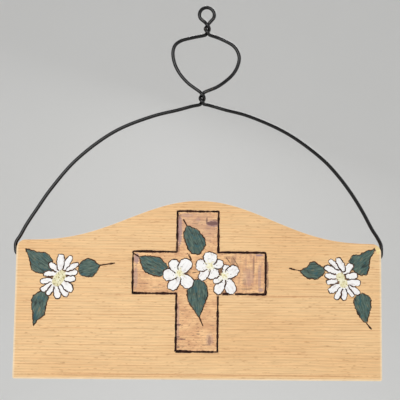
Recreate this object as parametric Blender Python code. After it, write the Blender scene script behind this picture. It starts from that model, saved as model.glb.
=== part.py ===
"""Wooden wall plaque with a burned cross and flowers, hanging on a twisted wire.

The board is one piece of cedar sawn to a bell-shaped top edge. The cross, the petals and the
leaves are burned into its front as shallow V grooves. The hanger is one stiff wire: each end
turns into a hole in a side edge of the board, and the wire is twisted round itself above and
below a large loop, with a small eye at the top for the nail.

Metres, +Z up. The front faces -Y and the wall is at +Y. The origin is the inside top of the
eye, where the nail carries the wire.
"""
import math

import bmesh
import bpy
from mathutils import Matrix, Vector
from mathutils.geometry import intersect_point_line

# Board
BOARD_WIDTH = 0.2878
BOARD_HEIGHT = 0.1397
BOARD_THICKNESS = 0.0127
SHOULDER_HEIGHT = 0.1073
BELL_WIDTH = 0.282
BELL_POWER = 1.4
TOP_CORNER_RADIUS = 0.0070
BOTTOM_CORNER_RADIUS = 0.0015
ARRIS_BEVEL = 0.0005

# How the board hangs below the nail
HOLE_DROP = 0.2025
HOLE_BELOW_SHOULDER = 0.0119
NAIL_OFFSET = 0.0033

# Wire and its holes in the side edges
WIRE_DIAMETER = 0.0029
WIRE_CLEARANCE = 0.0003
WIRE_END_DEPTH = 0.010
BEND_RADIUS = 0.004
SIDE_RUN_GAP = 0.0004
LEAN_BELOW_SHOULDER = 0.0024
COUNTERSINK_DEPTH = 0.002
COUNTERSINK_FLARE = 0.0009

# Eye, twists and loop of the wire
EYE_RADIUS = 0.0061
EYE_TO_TWIST = 0.0136
TWIST_PITCH = 0.0116
STRAND_GAP = 0.0003
UPPER_TWIST_X = 0.0004
LOWER_TWIST_X = -0.0031
LOOP_HEIGHT = 0.0519
LOOP_HALF_WIDTH = 0.027

# Burned lines
CROSS_LINE_WIDTH = 0.0014
FLOWER_LINE_WIDTH = 0.0008

# Cross, in its place on the board's front
CROSS_X = -0.0020
CROSS_ARM_HEIGHT = 0.0828
CROSS_BAR = 0.0326
CROSS_REACH_UP = 0.0485
CROSS_REACH_DOWN = 0.0613
CROSS_REACH_LEFT = 0.0508
CROSS_REACH_RIGHT = 0.0538

# Where the wire runs, as shares: out to the side, then down
LOOP_LEFT = ((0.42, 0.089), (0.78, 0.148), (0.935, 0.218), (0.983, 0.328), (0.909, 0.501),
             (0.724, 0.669), (0.446, 0.819))
LOOP_RIGHT = ((0.318, 0.079), (0.607, 0.142), (0.82, 0.205), (0.955, 0.287), (1.03, 0.395),
              (1.0, 0.53), (0.888, 0.655), (0.699, 0.763), (0.434, 0.869))
ARM_LEFT = ((0.051, 0.031), (0.130, 0.060), (0.271, 0.108), (0.480, 0.221), (0.685, 0.422),
            (0.820, 0.628), (0.888, 0.758), (0.9475, 0.878), (0.971, 0.935), (0.982, 0.960),
            (0.991, 0.977))
ARM_RIGHT = ((0.033, 0.021), (0.131, 0.054), (0.253, 0.092), (0.474, 0.211), (0.667, 0.383),
             (0.752, 0.492), (0.831, 0.621), (0.8945, 0.748), (0.951, 0.880), (0.976, 0.928),
             (0.990, 0.9595), (0.997, 0.979))

# Flowers: centre on the board's front; then root and tip of each petal from it, and its width
PETAL_BLUNTNESS = 0.75
BLOSSOM_CENTRE_RADIUS = 0.0026
BLOSSOM_FULLNESS = 0.16
BLOSSOMS = (
    {"centre": (0.0078, 0.0885), "petals": (
        ((-0.0002, 0.0005), (0.0005, 0.0107), 0.0110), ((0.0010, 0.0005), (0.0108, 0.0018), 0.0070),
        ((-0.0010, 0.0000), (-0.0110, 0.0005), 0.0095), ((-0.0010, -0.0016), (-0.0076, -0.0113), 0.0067),
        ((0.0006, -0.0012), (0.0036, -0.0101), 0.0104))},
    {"centre": (0.0193, 0.0805), "petals": (
        ((0.0007, -0.0006), (0.0106, 0.0069), 0.0088), ((-0.0005, 0.0004), (0.0023, 0.0089), 0.0059),
        ((-0.0006, -0.0003), (-0.0086, -0.0045), 0.0056), ((-0.0004, -0.0012), (-0.0062, -0.0141), 0.0076),
        ((0.0006, -0.0008), (0.0070, -0.0138), 0.0089))},
    {"centre": (-0.0160, 0.0825), "petals": (
        ((0.0002, 0.0002), (0.0075, 0.0105), 0.0100), ((-0.0006, 0.0006), (-0.0068, 0.0101), 0.0083),
        ((-0.0010, 0.0000), (-0.0133, -0.0021), 0.0096), ((-0.0005, -0.0010), (-0.0071, -0.0133), 0.0085),
        ((0.0010, -0.0018), (0.0095, -0.0105), 0.0100))},
)
DAISY_FULLNESS = 0.14
DAISIES = (
    {"centre": (-0.1102, 0.0773), "middles": (((-0.0038, -0.0058), (0.0038, 0.0058), 0.0086),), "petals": (
        ((0.0007, 0.0068), (0.0011, 0.0192), 0.0062), ((0.0036, 0.0072), (0.0092, 0.0176), 0.0047),
        ((0.0054, 0.0066), (0.0151, 0.0121), 0.0043), ((0.0051, 0.0044), (0.0145, 0.0050), 0.0051),
        ((0.0044, -0.0008), (0.0130, 0.0000), 0.0050), ((0.0025, -0.0027), (0.0106, -0.0098), 0.0063),
        ((0.0004, -0.0063), (0.0071, -0.0137), 0.0053), ((-0.0027, -0.0067), (-0.0004, -0.0159), 0.0053),
        ((-0.0038, -0.0054), (-0.0089, -0.0132), 0.0044), ((-0.0052, -0.0040), (-0.0140, -0.0099), 0.0046),
        ((-0.0052, -0.0015), (-0.0148, -0.0026), 0.0046), ((-0.0014, 0.0042), (-0.0121, 0.0032), 0.0044),
        ((-0.0002, 0.0054), (-0.0079, 0.0120), 0.0049))},
    {"centre": (0.1126, 0.0783), "middles": (((-0.0002, 0.0006), (0.0028, -0.0060), 0.0070),
                                             ((-0.0029, 0.0060), (0.0001, -0.0006), 0.0070)), "petals": (
        ((0.0023, 0.0077), (-0.0038, 0.0178), 0.0053), ((-0.0024, 0.0098), (-0.0101, 0.0160), 0.0043),
        ((0.0008, 0.0058), (0.0085, 0.0129), 0.0057), ((0.0032, 0.0034), (0.0126, 0.0043), 0.0056),
        ((0.0034, -0.0018), (0.0149, -0.0020), 0.0056), ((0.0062, -0.0038), (0.0138, -0.0110), 0.0046),
        ((0.0037, -0.0049), (0.0092, -0.0126), 0.0047), ((0.0025, -0.0053), (0.0014, -0.0155), 0.0048),
        ((0.0008, -0.0055), (-0.0054, -0.0151), 0.0050), ((-0.0015, -0.0037), (-0.0109, -0.0093), 0.0057),
        ((-0.0037, -0.0007), (-0.0126, -0.0017), 0.0044), ((-0.0045, 0.0028), (-0.0139, 0.0036), 0.0046),
        ((-0.0005, 0.0064), (-0.0143, 0.0102), 0.0057))},
)

# Leaves: their points on the board's front from base to tip and back, and the stem's end
CROSS_LEAVES = (
    {"base": (-0.0008, 0.0972), "tip": (-0.0110, 0.1200), "stem": (-0.0137, 0.1250),
     "out": ((0.0024, 0.1008), (0.0045, 0.1055), (0.0024, 0.1120), (-0.0028, 0.1171), (-0.0077, 0.1191)),
     "back": ((-0.0135, 0.1131), (-0.0116, 0.1059), (-0.0089, 0.1004), (-0.0065, 0.0978))},
    {"base": (-0.0262, 0.0832), "tip": (-0.0481, 0.0949), "stem": (-0.0536, 0.0983),
     "out": ((-0.0246, 0.0866), (-0.0276, 0.0902), (-0.0322, 0.0950), (-0.0421, 0.0959)),
     "back": ((-0.0467, 0.0897), (-0.0443, 0.0838), (-0.0390, 0.0807), (-0.0305, 0.0791))},
    {"base": (-0.0025, 0.0781), "tip": (0.0001, 0.0478), "stem": (0.0029, 0.0413),
     "out": ((-0.0067, 0.0756), (-0.0098, 0.0700), (-0.0101, 0.0650), (-0.0081, 0.0587), (-0.0046, 0.0536)),
     "back": ((0.0014, 0.0523), (0.0045, 0.0591), (0.0065, 0.0656), (0.0058, 0.0721), (0.0025, 0.0768))},
)
CORNER_LEAVES = (
    {"base": (-0.1152, 0.0846), "tip": (-0.1371, 0.1001), "stem": None,
     "out": ((-0.1149, 0.0901), (-0.1192, 0.0967), (-0.1276, 0.0978), (-0.1324, 0.0989)),
     "back": ((-0.1342, 0.0943), (-0.1329, 0.0888), (-0.1311, 0.0824), (-0.1224, 0.0804), (-0.1163, 0.0812))},
    {"base": (-0.0955, 0.0840), "tip": (-0.0780, 0.0879), "stem": (-0.0670, 0.0897),
     "out": ((-0.0939, 0.0797), (-0.0895, 0.0787), (-0.0843, 0.0787), (-0.0802, 0.0836)),
     "back": ((-0.0805, 0.0891), (-0.0831, 0.0914), (-0.0877, 0.0933), (-0.0921, 0.0913), (-0.0948, 0.0883))},
    {"base": (-0.1217, 0.0675), "tip": (-0.1290, 0.0407), "stem": None,
     "out": ((-0.1247, 0.0672), (-0.1312, 0.0624), (-0.1308, 0.0545), (-0.1296, 0.0490), (-0.1297, 0.0435)),
     "back": ((-0.1260, 0.0446), (-0.1204, 0.0488), (-0.1200, 0.0551), (-0.1173, 0.0632), (-0.1191, 0.0665))},
    {"base": (0.1208, 0.0869), "tip": (0.1390, 0.1039), "stem": None,
     "out": ((0.1264, 0.0819), (0.1326, 0.0828), (0.1336, 0.0865), (0.1346, 0.0910), (0.1352, 0.0956),
             (0.1378, 0.0994)),
     "back": ((0.1317, 0.1013), (0.1265, 0.0985), (0.1208, 0.0982), (0.1183, 0.0939), (0.1182, 0.0897))},
    {"base": (0.0991, 0.0858), "tip": (0.0788, 0.0855), "stem": (0.0714, 0.0870),
     "out": ((0.0980, 0.0885), (0.0946, 0.0899), (0.0906, 0.0931), (0.0867, 0.0917), (0.0854, 0.0886),
             (0.0818, 0.0870)),
     "back": ((0.0810, 0.0824), (0.0845, 0.0794), (0.0923, 0.0788), (0.0980, 0.0826))},
    {"base": (0.1235, 0.0673), "tip": (0.1318, 0.0449), "stem": (0.1360, 0.0401),
     "out": ((0.1219, 0.0633), (0.1223, 0.0577), (0.1263, 0.0504), (0.1295, 0.0460)),
     "back": ((0.1329, 0.0465), (0.1344, 0.0523), (0.1355, 0.0573), (0.1356, 0.0640), (0.1333, 0.0668),
              (0.1275, 0.0687))},
)

# How finely the curves are drawn
BELL_SEGMENTS = 36
CORNER_SEGMENTS = 5
HOLE_SIDES = 16
WIRE_SPACING = 0.005
TWIST_STEPS = 12
EYE_STEPS = 12
BEND_STEPS = 4
PETAL_POINTS = 9
CENTRE_POINTS = 10
CUT_OVERRUN = 0.002

# Places worked out from the sizes above
BOARD_X = -NAIL_OFFSET
BOARD_Z = -HOLE_DROP - SHOULDER_HEIGHT + HOLE_BELOW_SHOULDER
WIRE_RADIUS = WIRE_DIAMETER / 2
BORE_RADIUS = WIRE_RADIUS + WIRE_CLEARANCE
STRAND_OFFSET = WIRE_RADIUS + STRAND_GAP / 2


def clear_scene():
    """Remove what the file starts with."""
    for thing in list(bpy.data.objects):
        bpy.data.objects.remove(thing, do_unlink=True)


def material(name, colour, roughness, coat=0.0):
    """A plain finish for one piece."""
    finish = bpy.data.materials.new(name)
    finish.use_nodes = True
    shader = finish.node_tree.nodes["Principled BSDF"]
    shader.inputs["Base Color"].default_value = (*colour, 1.0)
    shader.inputs["Roughness"].default_value = roughness
    shader.inputs["Metallic"].default_value = 0.0
    shader.inputs["Coat Weight"].default_value = coat
    return finish


def mesh_object(name, bm):
    """Turn a bmesh into an object of the scene."""
    mesh = bpy.data.meshes.new(name)
    bm.to_mesh(mesh)
    bm.free()
    thing = bpy.data.objects.new(name, mesh)
    bpy.context.collection.objects.link(thing)
    return thing


def bell_height(x):
    """Height of the board's top edge above its bottom edge, x from the middle."""
    share = min(abs(x) / (BELL_WIDTH / 2), 1.0)
    rise = BOARD_HEIGHT - SHOULDER_HEIGHT
    return SHOULDER_HEIGHT + rise * (0.5 + 0.5 * math.cos(math.pi * share)) ** BELL_POWER


def corner_arc(centre_x, centre_z, radius, start_degrees):
    """A quarter circle, anticlockwise from its starting angle."""
    points = []
    for step in range(CORNER_SEGMENTS + 1):
        angle = math.radians(start_degrees + 90.0 * step / CORNER_SEGMENTS)
        points.append((centre_x + radius * math.cos(angle), centre_z + radius * math.sin(angle)))
    return points


def board_outline():
    """The board's front outline, anticlockwise, from its middle and its bottom edge."""
    half = BOARD_WIDTH / 2
    low = BOTTOM_CORNER_RADIUS
    high = TOP_CORNER_RADIUS
    outline = corner_arc(-half + low, low, low, 180.0)
    outline += corner_arc(half - low, low, low, 270.0)
    outline += corner_arc(half - high, SHOULDER_HEIGHT - high, high, 0.0)
    for step in range(1, BELL_SEGMENTS):
        x = BELL_WIDTH * (0.5 - step / BELL_SEGMENTS)
        outline.append((x, bell_height(x)))
    outline += corner_arc(-half + high, SHOULDER_HEIGHT - high, high, 90.0)
    return outline


def on_front(x, z):
    """A place on the board's front, x from its middle and z from its bottom edge."""
    return Vector((BOARD_X + x, -BOARD_THICKNESS / 2, BOARD_Z + z))


def egg(length, width, fullness, points):
    """A closed blunt outline from (0, 0) to (length, 0); fullness widens it towards its tip."""
    outline = []
    for step in range(points):
        turn = 2.0 * math.pi * step / points
        along = length * 0.5 * (1.0 - math.cos(turn))
        bulge = math.copysign(abs(math.sin(turn)) ** PETAL_BLUNTNESS, math.sin(turn))
        outline.append((along, width * 0.5 * bulge * (1.0 - fullness * math.cos(turn))))
    return outline


def petal(centre, plan, fullness, points):
    """The closed outline of a petal, or of a flower's middle, from its root to its tip."""
    root, tip, width = plan
    along = Vector(tip) - Vector(root)
    turn = Matrix.Rotation(math.atan2(along.y, along.x), 2)
    start = Vector(centre) + Vector(root)
    return [start + turn @ Vector(point) for point in egg(along.length, width, fullness, points)]


def blossom(centre, petals):
    """A five-petalled blossom: its plain middle, which only hides what is under it, and its petals."""
    disc = ((-BLOSSOM_CENTRE_RADIUS, 0.0), (BLOSSOM_CENTRE_RADIUS, 0.0), 2.0 * BLOSSOM_CENTRE_RADIUS)
    shapes = [(petal(centre, disc, 0.0, CENTRE_POINTS), False)]
    return shapes + [(petal(centre, plan, BLOSSOM_FULLNESS, PETAL_POINTS), True) for plan in petals]


def daisy(centre, middles, petals):
    """A daisy: its middle and its petals, the first on top."""
    shapes = [(petal(centre, plan, 0.0, CENTRE_POINTS), True) for plan in middles]
    return shapes + [(petal(centre, plan, DAISY_FULLNESS, PETAL_POINTS), True) for plan in petals]


def leaf(plan):
    """The closed outline of a pointed leaf."""
    return [Vector(point) for point in (plan["base"], *plan["out"], plan["tip"], *plan["back"])]


def cross_outline():
    """The twelve corners of the cross."""
    half = CROSS_BAR / 2
    low = CROSS_ARM_HEIGHT - half
    high = CROSS_ARM_HEIGHT + half
    left = CROSS_X - half
    right = CROSS_X + half
    top = CROSS_ARM_HEIGHT + CROSS_REACH_UP
    bottom = CROSS_ARM_HEIGHT - CROSS_REACH_DOWN
    far_left = CROSS_X - CROSS_REACH_LEFT
    far_right = CROSS_X + CROSS_REACH_RIGHT
    corners = [(left, bottom), (right, bottom), (right, low), (far_right, low), (far_right, high),
               (right, high), (right, top), (left, top), (left, high), (far_left, high),
               (far_left, low), (left, low)]
    return [Vector(corner) for corner in corners]


def inside(point, outline):
    """Whether a point lies in a closed outline."""
    crossings = False
    for start, end in zip(outline, outline[1:] + outline[:1]):
        if (start.y > point.y) != (end.y > point.y):
            share = (point.y - start.y) / (end.y - start.y)
            if point.x < start.x + share * (end.x - start.x):
                crossings = not crossings
    return crossings


def near_line(point, outline, gap):
    """Whether a point lies within a gap of a closed outline's line."""
    for start, end in zip(outline, outline[1:] + outline[:1]):
        share = intersect_point_line(point, start, end)[1]
        foot = start.lerp(end, min(max(share, 0.0), 1.0))
        if (point - foot).length < gap:
            return True
    return False


def covered(point, covers, gap):
    """Whether a covering shape, given as (middle, reach, outline), hides a point or comes near it."""
    for middle, reach, outline in covers:
        if (point - middle).length > reach + gap:
            continue
        if inside(point, outline) or near_line(point, outline, gap):
            return True
    return False


def cover(outline):
    """A closed outline with its middle and its reach, so that far points are told apart quickly."""
    middle = sum(outline, Vector((0.0, 0.0))) / len(outline)
    return middle, max((point - middle).length for point in outline), outline


def open_runs(line, covers, gap):
    """The stretches of a line that no covering shape hides, cut where they meet one."""
    runs = [[]]
    step = FLOWER_LINE_WIDTH / 2
    for start, end in zip(line, line[1:]):
        count = max(1, math.ceil((end - start).length / step))
        for index in range(count + 1):
            point = start.lerp(end, index / count)
            hidden = covered(point, covers, gap)
            corner = index in (0, count)
            if hidden and runs[-1]:
                runs.append([])
            elif not hidden:
                runs[-1].append((point, corner))
    lines = []
    for run in runs:
        kept = [point for place, (point, corner) in enumerate(run)
                if corner or place in (0, len(run) - 1)]
        kept = [point for place, point in enumerate(kept)
                if place == 0 or (point - kept[place - 1]).length > 1e-6]
        if len(kept) > 1 and sum((b - a).length for a, b in zip(kept, kept[1:])) > 2.0 * gap:
            lines.append(kept)
    return lines


def burned_lines():
    """Every burned line, as (points, width), in the order in which the shapes lie on each other."""
    gap = FLOWER_LINE_WIDTH / 2
    lines = []
    covers = []
    for flower in [blossom(**plan) for plan in BLOSSOMS] + [daisy(**plan) for plan in DAISIES]:
        for shape, burned in flower:
            if burned:
                for run in open_runs(shape + shape[:1], covers, gap):
                    lines.append((run, FLOWER_LINE_WIDTH))
            covers.append(cover(shape))
    leaves = [(leaf(plan), plan) for plan in CROSS_LEAVES + CORNER_LEAVES]
    for outline, plan in leaves:
        for run in open_runs(outline + outline[:1], covers, gap):
            lines.append((run, FLOWER_LINE_WIDTH))
        if plan["stem"]:
            lines.append(([Vector(plan["tip"]), Vector(plan["stem"])], FLOWER_LINE_WIDTH))
    covers += [cover(outline) for outline, plan in leaves]
    corners = cross_outline()
    for run in open_runs(corners + corners[:1], covers, CROSS_LINE_WIDTH / 2):
        lines.append((run, CROSS_LINE_WIDTH))
    return lines


def wire_end_cutter(side):
    """The bore and its flared mouth in one side edge, as one turned shape."""
    face = BOARD_X + side * BOARD_WIDTH / 2
    mouth = BORE_RADIUS + COUNTERSINK_FLARE
    slope = COUNTERSINK_FLARE / COUNTERSINK_DEPTH
    depth = WIRE_END_DEPTH + WIRE_CLEARANCE
    profile = ((0.0, -depth), (BORE_RADIUS, -depth), (BORE_RADIUS, -COUNTERSINK_DEPTH),
               (mouth + slope * CUT_OVERRUN, CUT_OVERRUN), (0.0, CUT_OVERRUN))
    bm = bmesh.new()
    centre = Vector((face, 0.0, -HOLE_DROP))
    verts = [bm.verts.new(centre + Vector((side * along, 0.0, radius))) for radius, along in profile]
    edges = [bm.edges.new(pair) for pair in zip(verts, verts[1:])]
    bmesh.ops.spin(bm, geom=verts + edges, cent=centre, axis=(1.0, 0.0, 0.0),
                   angle=2.0 * math.pi, steps=HOLE_SIDES, use_merge=True)
    bmesh.ops.remove_doubles(bm, verts=bm.verts, dist=1e-6)
    bmesh.ops.recalc_face_normals(bm, faces=bm.faces)
    return mesh_object("wire_end_cutter", bm)


def burned_line_cutter():
    """Diamond-section bars along the burned lines, half sunk in the front: they cut V grooves."""
    curve = bpy.data.curves.new("burned_line_path", "CURVE")
    curve.dimensions = "3D"
    curve.twist_mode = "Z_UP"
    lines = burned_lines()
    cutters = []
    for width in (FLOWER_LINE_WIDTH, CROSS_LINE_WIDTH):
        path = curve.copy()
        path.bevel_depth = width
        path.bevel_resolution = 0
        path.use_fill_caps = True
        path.resolution_u = 1
        for points, line_width in lines:
            if line_width != width:
                continue
            closed = (points[0] - points[-1]).length < 1e-6
            if closed:
                points = points[:-1]
            spline = path.splines.new("POLY")
            spline.points.add(len(points) - 1)
            spline.use_cyclic_u = closed
            for target, point in zip(spline.points, points):
                target.co = (*point, width / 2, 1.0)
        holder = bpy.data.objects.new("burned_line_path", path)
        bpy.context.collection.objects.link(holder)
        bpy.context.view_layer.update()
        mesh = bpy.data.meshes.new_from_object(holder.evaluated_get(bpy.context.evaluated_depsgraph_get()))
        bpy.data.objects.remove(holder, do_unlink=True)
        cutters.append(mesh)
    bm = bmesh.new()
    for mesh in cutters:
        bm.from_mesh(mesh)
    stand_up = Matrix.Translation(on_front(0.0, 0.0)) @ Matrix.Rotation(math.radians(90), 4, "X")
    bmesh.ops.remove_doubles(bm, verts=bm.verts, dist=1e-7)
    bmesh.ops.transform(bm, matrix=stand_up, verts=bm.verts)
    bmesh.ops.recalc_face_normals(bm, faces=bm.faces)
    return mesh_object("burned_line_cutter", bm)


def cut(target, cutter):
    """Cut one closed shape out of another and leave the cutter out of the model."""
    cutter.hide_render = True
    cutter.display_type = "WIRE"
    modifier = target.modifiers.new(cutter.name, "BOOLEAN")
    modifier.operation = "DIFFERENCE"
    modifier.solver = "EXACT"
    modifier.use_self = True
    modifier.object = cutter


def plaque_board():
    """The cedar board with its burned lines and the two holes for the wire's ends."""
    bm = bmesh.new()
    back = [bm.verts.new((BOARD_X + x, BOARD_THICKNESS / 2, BOARD_Z + z)) for x, z in board_outline()]
    face = bm.faces.new(back)
    sides = bmesh.ops.extrude_face_region(bm, geom=[face])
    front = [item for item in sides["geom"] if isinstance(item, bmesh.types.BMVert)]
    bmesh.ops.translate(bm, verts=front, vec=(0.0, -BOARD_THICKNESS, 0.0))
    bmesh.ops.recalc_face_normals(bm, faces=bm.faces)
    rims = [edge for edge in bm.edges if abs(edge.verts[0].co.y - edge.verts[1].co.y) < 1e-6]
    bmesh.ops.bevel(bm, geom=rims, offset=ARRIS_BEVEL, offset_type="OFFSET", affect="EDGES",
                    segments=1, profile=0.5, material=-1, clamp_overlap=True)
    board = mesh_object("plaque_board", bm)
    board.data.materials.append(material("cedar", (0.84, 0.54, 0.27), 0.55))
    for side in (-1, 1):
        cut(board, wire_end_cutter(side))
    cut(board, burned_line_cutter())
    return board


def twist_points(axis_x, first_crossing, strand):
    """One strand of a twist, top to bottom; the left strand, -1, goes in front first."""
    points = []
    top = first_crossing + TWIST_PITCH / 4
    for step in range(1, TWIST_STEPS):
        turn = 2.0 * math.pi * step / TWIST_STEPS
        points.append((axis_x + strand * STRAND_OFFSET * math.cos(turn),
                       strand * STRAND_OFFSET * math.sin(turn),
                       top - TWIST_PITCH * step / TWIST_STEPS))
    return points


def wire_strand(side):
    """One half of the wire's centre line, from the top of the eye to its end in the board."""
    eye_centre = WIRE_RADIUS - EYE_RADIUS
    upper = -EYE_TO_TWIST
    loop_top = upper - TWIST_PITCH / 2
    lower = loop_top - LOOP_HEIGHT
    arm_top = lower - TWIST_PITCH / 2
    face = BOARD_X + side * BOARD_WIDTH / 2
    run_x = face + side * (WIRE_RADIUS + SIDE_RUN_GAP)
    run_top = HOLE_BELOW_SHOULDER - LEAN_BELOW_SHOULDER - HOLE_DROP
    points = []
    for step in range(EYE_STEPS + 1):
        turn = math.radians(120.0) * step / EYE_STEPS
        points.append((side * EYE_RADIUS * math.sin(turn), 0.0, eye_centre + EYE_RADIUS * math.cos(turn)))
    points += twist_points(UPPER_TWIST_X, upper, side)
    for out, down in LOOP_LEFT if side < 0 else LOOP_RIGHT:
        middle = UPPER_TWIST_X + down * (LOWER_TWIST_X - UPPER_TWIST_X)
        points.append((middle + side * out * LOOP_HALF_WIDTH, 0.0, loop_top - down * LOOP_HEIGHT))
    points += twist_points(LOWER_TWIST_X, lower, side)
    for out, down in ARM_LEFT if side < 0 else ARM_RIGHT:
        points.append((LOWER_TWIST_X + out * (run_x - LOWER_TWIST_X), 0.0,
                       arm_top + down * (run_top - arm_top)))
    points.append((run_x, 0.0, run_top))
    for step in range(BEND_STEPS + 1):
        turn = math.radians(90.0) * step / BEND_STEPS
        points.append((run_x - side * BEND_RADIUS * (1.0 - math.cos(turn)), 0.0,
                       -HOLE_DROP + BEND_RADIUS * (1.0 - math.sin(turn))))
    points.append((face - side * WIRE_END_DEPTH, 0.0, -HOLE_DROP))
    return [Vector(point) for point in points]


def smooth_route(points, spacing):
    """Points about a spacing apart on a smooth curve through the given ones."""
    ends = [points[0] * 2 - points[1]] + points + [points[-1] * 2 - points[-2]]
    route = [points[0]]
    for before, start, end, after in zip(ends, ends[1:], ends[2:], ends[3:]):
        lengths = [math.sqrt((b - a).length) for a, b in ((before, start), (start, end), (end, after))]
        first = (end - start) / lengths[1]
        leave = ((start - before) / lengths[0] * lengths[1] + first * lengths[0]) / (lengths[0] + lengths[1])
        arrive = ((after - end) / lengths[2] * lengths[1] + first * lengths[2]) / (lengths[1] + lengths[2])
        count = max(1, round((end - start).length / spacing))
        for index in range(1, count + 1):
            share = index / count
            rest = 1.0 - share
            pull = lengths[1] * share * rest * (leave * rest - arrive * share)
            route.append(start * rest * rest * (1.0 + 2.0 * share)
                         + end * share * share * (3.0 - 2.0 * share) + pull)
    return route


def hanger_wire():
    """The one-piece wire hanger."""
    left = wire_strand(-1)
    right = wire_strand(1)
    route = smooth_route(left[::-1] + right[1:], WIRE_SPACING)
    curve = bpy.data.curves.new("hanger_wire", "CURVE")
    curve.dimensions = "3D"
    curve.bevel_depth = WIRE_RADIUS
    curve.bevel_resolution = 2
    curve.use_fill_caps = True
    curve.resolution_u = 1
    curve.render_resolution_u = 0
    spline = curve.splines.new("POLY")
    spline.points.add(len(route) - 1)
    for target, point in zip(spline.points, route):
        target.co = (*point, 1.0)
    wire = bpy.data.objects.new("hanger_wire", curve)
    bpy.context.collection.objects.link(wire)
    curve.materials.append(material("black_coated_wire", (0.02, 0.02, 0.022), 0.4, coat=0.3))
    return wire


clear_scene()
plaque_board()
hanger_wire()
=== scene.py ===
"""Visual model of a hanging cedar plaque: burned cross, painted flowers and a black wire hanger.

Metres, +Z up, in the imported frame: the front faces -Y and the origin is the inside top of the
wire's eye. Places on the front are given as x from the board's middle, z from its bottom edge.
"""
import math
import random

import bmesh
import bpy
from mathutils import Matrix, Vector, noise
from mathutils.geometry import intersect_point_line


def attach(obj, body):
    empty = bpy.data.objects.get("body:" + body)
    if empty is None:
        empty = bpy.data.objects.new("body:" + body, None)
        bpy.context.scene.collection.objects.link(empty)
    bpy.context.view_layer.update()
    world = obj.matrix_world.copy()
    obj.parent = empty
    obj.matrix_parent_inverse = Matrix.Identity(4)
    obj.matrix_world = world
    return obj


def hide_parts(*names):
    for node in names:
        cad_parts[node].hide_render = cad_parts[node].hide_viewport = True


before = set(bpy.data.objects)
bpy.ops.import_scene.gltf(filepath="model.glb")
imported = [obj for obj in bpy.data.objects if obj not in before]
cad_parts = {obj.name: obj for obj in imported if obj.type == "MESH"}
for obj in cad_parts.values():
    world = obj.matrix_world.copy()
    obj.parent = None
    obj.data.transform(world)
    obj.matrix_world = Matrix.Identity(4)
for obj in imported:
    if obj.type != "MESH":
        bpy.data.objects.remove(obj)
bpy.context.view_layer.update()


def in_metres(table):
    """A table of millimetres in metres, to a ten-thousandth of a millimetre; an empty place stays empty."""
    if table is None:
        return None
    if isinstance(table, dict):
        return {name: in_metres(value) for name, value in table.items()}
    if isinstance(table, tuple):
        return tuple(in_metres(value) for value in table)
    return round(table * 0.001, 7)


# Camera: where it looks, how far away it is, and its turns in radians
CAMERA_TARGET = (-0.003785, 0.0, -0.156952)
CAMERA_DISTANCE = 0.620
CAMERA_TURN = 0.0341
CAMERA_CLIMB = math.radians(5.0)
CAMERA_ROLL = 0.0125
CAMERA_LENS = 69.6

# Studio: each lamp's name, place, size and power
LAMPS = (
    ("key", (-0.40, -1.20, 0.05), 0.8, 7.5),
    ("fill", (1.1, -1.0, 0.1), 1.2, 3.0),
    ("back", (0.3, 1.0, 0.8), 0.9, 9.0),
)
LAMP_TARGET = (0.0, 0.0, -0.16)
WORLD_STRENGTH = 0.48

# Board, as in the CAD model
BOARD_WIDTH = 0.2878
BOARD_HEIGHT = 0.1397
BOARD_THICKNESS = 0.0127
SHOULDER_HEIGHT = 0.1073
BELL_WIDTH = 0.282
BELL_POWER = 1.4
TOP_CORNER_RADIUS = 0.0070
BOTTOM_CORNER_RADIUS = 0.0015
ARRIS = 0.0005
HOLE_DROP = 0.2025
HOLE_BELOW_SHOULDER = 0.0119
NAIL_OFFSET = 0.0033
BOARD_X = -NAIL_OFFSET
BOARD_Z = -HOLE_DROP - SHOULDER_HEIGHT + HOLE_BELOW_SHOULDER

# Wire, as in the CAD model
WIRE_RADIUS = 0.00145
BORE_RADIUS = 0.00175
WIRE_END_DEPTH = 0.010
BORE_DEPTH = 0.0103
BEND_RADIUS = 0.004
SIDE_RUN_GAP = 0.0004
LEAN_BELOW_SHOULDER = 0.0024
COUNTERSINK_DEPTH = 0.002
COUNTERSINK_FLARE = 0.0009
EYE_RADIUS = 0.0061
EYE_TO_TWIST = 0.0136
TWIST_PITCH = 0.0116
STRAND_OFFSET = 0.0016
UPPER_TWIST_X = 0.0004
LOWER_TWIST_X = -0.0031
LOOP_HEIGHT = 0.0519
LOOP_HALF_WIDTH = 0.027
LOOP_LEFT = ((0.42, 0.089), (0.78, 0.148), (0.935, 0.218), (0.983, 0.328), (0.909, 0.501),
             (0.724, 0.669), (0.446, 0.819))
LOOP_RIGHT = ((0.318, 0.079), (0.607, 0.142), (0.82, 0.205), (0.955, 0.287), (1.03, 0.395),
              (1.0, 0.53), (0.888, 0.655), (0.699, 0.763), (0.434, 0.869))
ARM_LEFT = ((0.051, 0.031), (0.130, 0.060), (0.271, 0.108), (0.480, 0.221), (0.685, 0.422),
            (0.820, 0.628), (0.888, 0.758), (0.9475, 0.878), (0.971, 0.935), (0.982, 0.960),
            (0.991, 0.977))
ARM_RIGHT = ((0.033, 0.021), (0.131, 0.054), (0.253, 0.092), (0.474, 0.211), (0.667, 0.383),
             (0.752, 0.492), (0.831, 0.621), (0.8945, 0.748), (0.951, 0.880), (0.976, 0.928),
             (0.990, 0.9595), (0.997, 0.979))

# Cross, as in the CAD model
CROSS_X = -0.0020
CROSS_ARM_HEIGHT = 0.0828
CROSS_BAR = 0.0326
CROSS_REACH_UP = 0.0485
CROSS_REACH_DOWN = 0.0613
CROSS_REACH_LEFT = 0.0508
CROSS_REACH_RIGHT = 0.0538

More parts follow.
